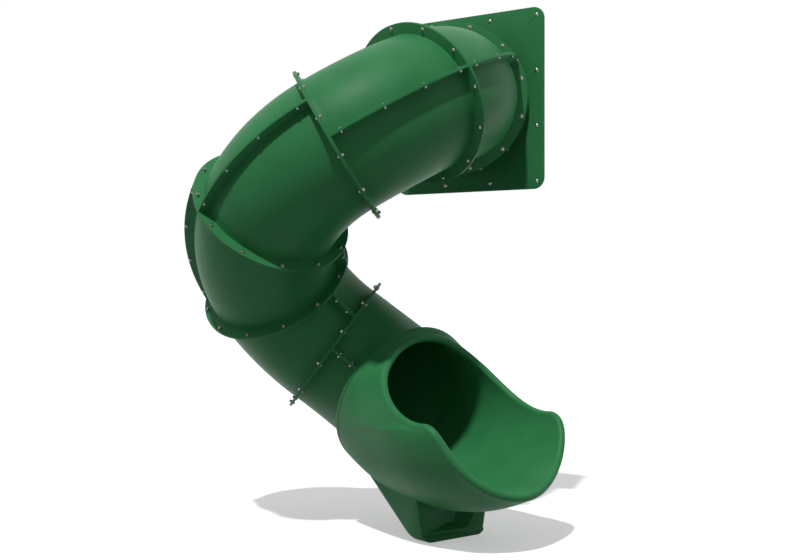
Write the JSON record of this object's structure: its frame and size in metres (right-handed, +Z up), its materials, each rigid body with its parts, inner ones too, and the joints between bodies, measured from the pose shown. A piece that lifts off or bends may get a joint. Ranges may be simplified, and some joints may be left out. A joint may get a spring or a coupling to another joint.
{
  "type": "spiral tube slide",
  "caption": "Enclosed spiral tube slide for a raised deck: square entrance panel, bolted moulded bends and a wide open exit chute on a foot.",
  "frame": {"origin": "centre of the mounting bolts on the entrance panel's back face, which is also the centre of the tube's entry", "axes": "+Y into the deck, square to the entrance panel; +X along the panel; +Z up"},
  "size_m": [2.0424, 1.8045, 3.0107],
  "materials": {
    "moulded_polyethylene": "satin",
    "sheet_polyethylene": "satin",
    "zinc_plated_steel": "satin",
    "brass_insert": "satin"
  },
  "bodies": {
    "root": {"entrance_panel": "sheet_polyethylene", "panel_bolts": "zinc_plated_steel", "entry_collar": "moulded_polyethylene", "collar_bolts": "zinc_plated_steel", "section_1_upper": "moulded_polyethylene", "section_1_lower": "moulded_polyethylene", "section_2_upper": "moulded_polyethylene", "section_2_lower": "moulded_polyethylene", "section_3_upper": "moulded_polyethylene", "section_3_lower": "moulded_polyethylene", "section_4_upper": "moulded_polyethylene", "section_4_lower": "moulded_polyethylene", "section_5_upper": "moulded_polyethylene", "section_5_lower": "moulded_polyethylene", "section_6_upper": "moulded_polyethylene", "section_6_lower": "moulded_polyethylene", "joint_0_bolts": "zinc_plated_steel", "joint_1_bolts": "zinc_plated_steel", "joint_2_bolts": "zinc_plated_steel", "joint_3_bolts": "zinc_plated_steel", "joint_4_bolts": "zinc_plated_steel", "joint_5_bolts": "zinc_plated_steel", "exit_screws": "zinc_plated_steel", "seam_1_bolts": "zinc_plated_steel", "seam_2_bolts": "zinc_plated_steel", "seam_3_bolts": "zinc_plated_steel", "seam_4_bolts": "zinc_plated_steel", "seam_5_bolts": "zinc_plated_steel", "seam_6_bolts": "zinc_plated_steel", "exit_chute": "moulded_polyethylene", "exit_inserts": "brass_insert", "exit_foot": "moulded_polyethylene", "foot_inserts": "brass_insert"}
  },
  "joints": []
}
